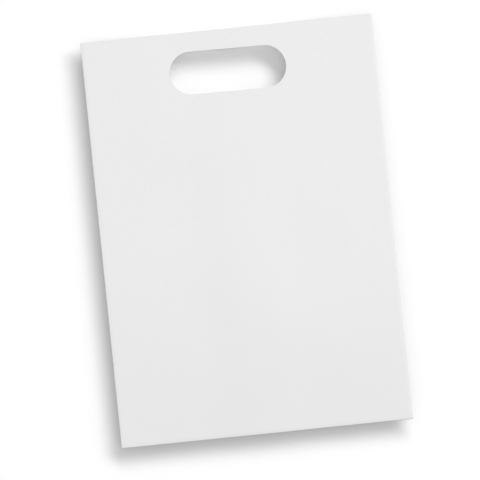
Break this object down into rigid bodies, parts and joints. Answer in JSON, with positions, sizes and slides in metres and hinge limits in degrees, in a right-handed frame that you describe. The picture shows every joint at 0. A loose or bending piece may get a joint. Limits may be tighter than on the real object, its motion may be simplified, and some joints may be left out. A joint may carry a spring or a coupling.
{
  "type": "die-cut paper bag",
  "caption": "Flat white paper carrier bag, folded and glued from one sheet, with an open mouth and a stadium-shaped hand slot cut through both walls.",
  "frame": {"origin": "middle of the bag's footprint on the table, with the bag lying on its back wall", "axes": "+X across the bag, to the right when it is seen from the front; +Y from the bottom fold to the open mouth; +Z out of the front wall"},
  "size_m": [0.255, 0.355, 0.0089],
  "materials": {
    "white_kraft": "plain machine-finished white kraft paper, matte, unprinted"
  },
  "bodies": {
    "root": {"bag": "white_kraft"}
  },
  "joints": []
}
